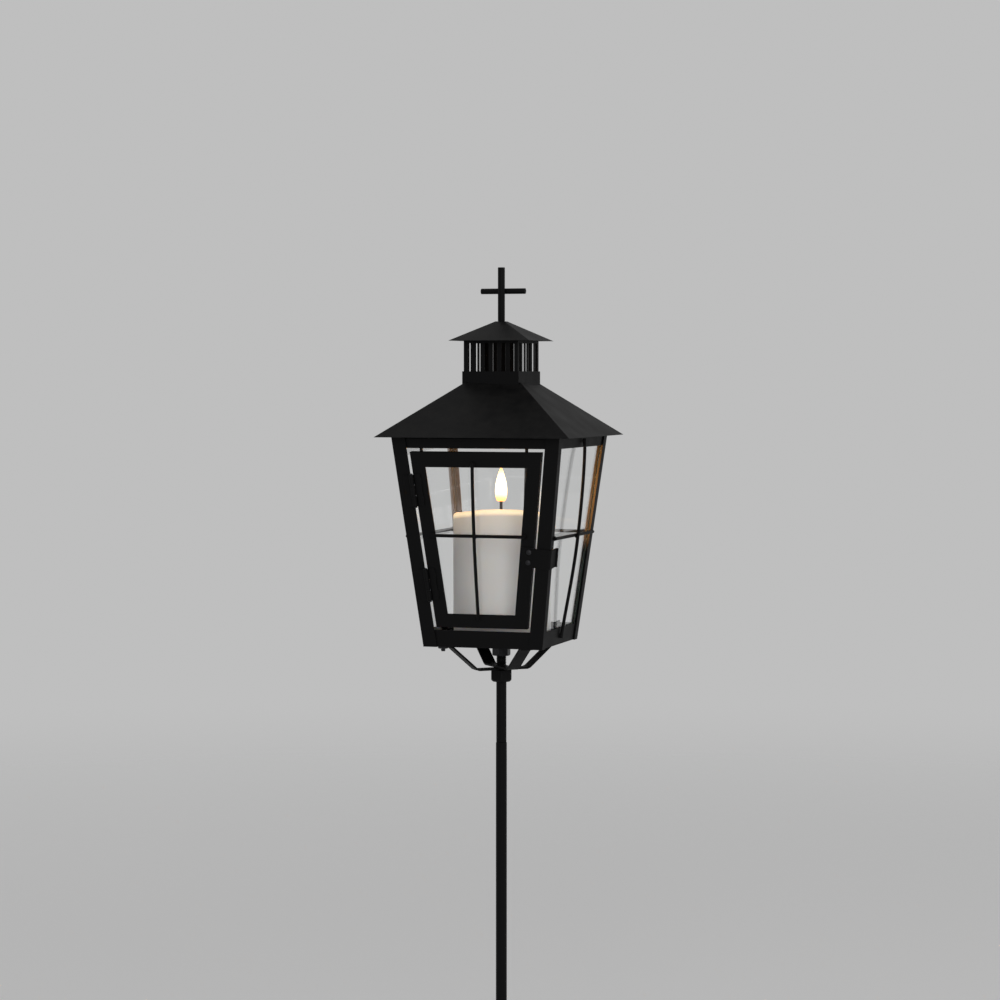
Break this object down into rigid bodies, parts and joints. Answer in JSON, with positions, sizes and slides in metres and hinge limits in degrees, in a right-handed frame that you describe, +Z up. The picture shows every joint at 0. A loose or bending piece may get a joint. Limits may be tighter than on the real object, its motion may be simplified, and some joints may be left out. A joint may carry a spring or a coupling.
{
  "type": "grave lantern",
  "caption": "Tapered black steel grave lantern with a hinged glazed door, a chimneyed pyramid roof with a cross, a ground stake and a battery candle.",
  "frame": {"origin": "on the axis of the ground stake at ground level, 260 mm below the underside of the lantern", "axes": "+Z up along the stake; the door faces -Y; +X to the right seen from the front"},
  "size_m": [0.1558, 0.1558, 0.7334],
  "materials": {
    "black_steel": "satin black powder coat",
    "fasteners": "black zinc",
    "glass": "clear float glass",
    "wax": "ivory wax coat",
    "ivory_plastic": "matt",
    "dark_plastic": "matt",
    "flame": "frosted, lit from inside",
    "battery": "gloss sleeve",
    "circuit_board": "solder mask"
  },
  "bodies": {
    "lantern": {"base_tray": "black_steel", "top_frame": "black_steel", "post_front_left": "black_steel", "post_front_right": "black_steel", "post_rear_left": "black_steel", "post_rear_right": "black_steel", "roof": "black_steel", "chimney_neck": "black_steel", "chimney_slotted_collar": "black_steel", "cap_roof": "black_steel", "cross_upright": "black_steel", "cross_arm": "black_steel", "cross_nut": "fasteners", "glass_left": "glass", "glass_rear": "glass", "glass_right": "glass", "wire_level_left": "black_steel", "wire_level_rear": "black_steel", "wire_level_right": "black_steel", "wire_upright_left": "black_steel", "wire_upright_rear": "black_steel", "wire_upright_right": "black_steel", "pane_clip_left_low": "black_steel", "pane_clip_rear_low": "black_steel", "pane_clip_right_low": "black_steel", "hinge_upper_post_leaf": "black_steel", "hinge_lower_post_leaf": "black_steel", "hinge_upper_pin": "fasteners", "hinge_lower_pin": "fasteners", "tray_screw": "fasteners", "tray_screw_nut": "fasteners", "bracket_strip_side": "black_steel", "bracket_strip_fore_aft": "black_steel", "floor_washer": "fasteners", "floor_nut": "fasteners", "stake_collar_nut": "black_steel", "stake_rod_upper": "black_steel", "stake_spike_lower": "black_steel", "candle_wax_shell": "wax", "candle_housing": "ivory_plastic", "candle_foot_plate": "ivory_plastic", "battery_hatch": "ivory_plastic", "battery_left": "battery", "battery_right": "battery", "circuit_board": "circuit_board", "wick_stem": "dark_plastic", "flame_tip": "flame"},
    "door": {"door_frame": "black_steel", "door_glass": "glass", "door_wire_level": "black_steel", "door_wire_upright": "black_steel", "hinge_upper_door_leaf": "black_steel", "hinge_lower_door_leaf": "black_steel", "latch_clip": "black_steel", "latch_rivet_upper": "fasteners", "latch_rivet_lower": "fasteners"},
    "switch": {"power_switch": "dark_plastic"}
  },
  "joints": [
    {"name": "door_hinge", "type": "hinge", "parent": "lantern", "child": "door", "pos_m": [-0.04597, -0.06011, 0.34476], "axis": [0.1169, 0.1169, -0.9862], "range_deg": [0, 110]},
    {"name": "switch_slide", "type": "slide", "parent": "lantern", "child": "switch", "axis": [-1, 0, 0], "range_m": [0, 0.004]}
  ]
}
